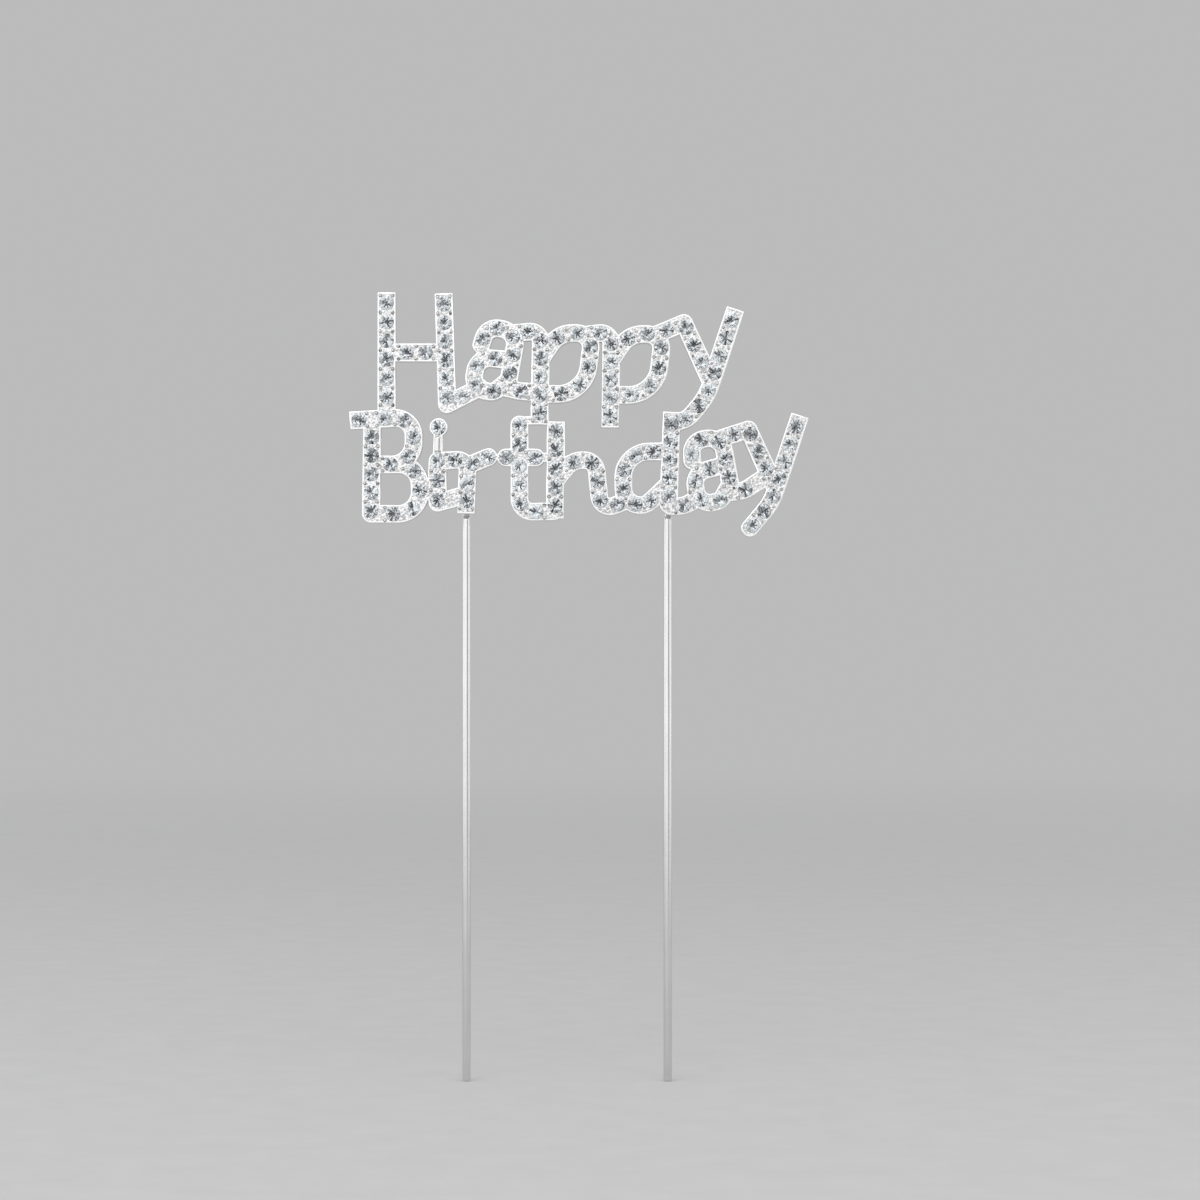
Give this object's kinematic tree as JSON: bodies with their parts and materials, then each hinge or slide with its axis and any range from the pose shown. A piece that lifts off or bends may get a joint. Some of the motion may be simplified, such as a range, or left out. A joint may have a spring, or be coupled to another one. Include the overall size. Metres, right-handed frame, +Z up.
{
  "type": "cake topper",
  "caption": "Upright two-line celebration cake topper: a cast silver-plated letter frame pave-set with round clear stones, carried on two thin wire stakes that push into the cake.",
  "frame": {"origin": "midway between the tips of the two stakes", "axes": "+X along the words as read, -Y out of the front of the letters, +Z up along the stakes"},
  "size_m": [0.092, 0.0041, 0.1582],
  "materials": {
    "plated_casting": "bright silver plating over a zinc casting",
    "clear_stone": "clear cut glass with a mirror foil back",
    "plated_wire": "polished plating on round steel wire",
    "solder": "dull soft solder"
  },
  "bodies": {
    "root": {"letter_frame": "plated_casting", "cap_h_stones": "clear_stone", "first_a_stones": "clear_stone", "first_p_stones": "clear_stone", "second_p_stones": "clear_stone", "first_y_stones": "clear_stone", "cap_b_stones": "clear_stone", "letter_i_stones": "clear_stone", "letter_r_stones": "clear_stone", "letter_t_stones": "clear_stone", "small_h_stones": "clear_stone", "letter_d_stones": "clear_stone", "second_a_stones": "clear_stone", "second_y_stones": "clear_stone", "left_stake": "plated_wire", "right_stake": "plated_wire", "left_solder": "solder", "right_solder": "solder"}
  },
  "joints": []
}
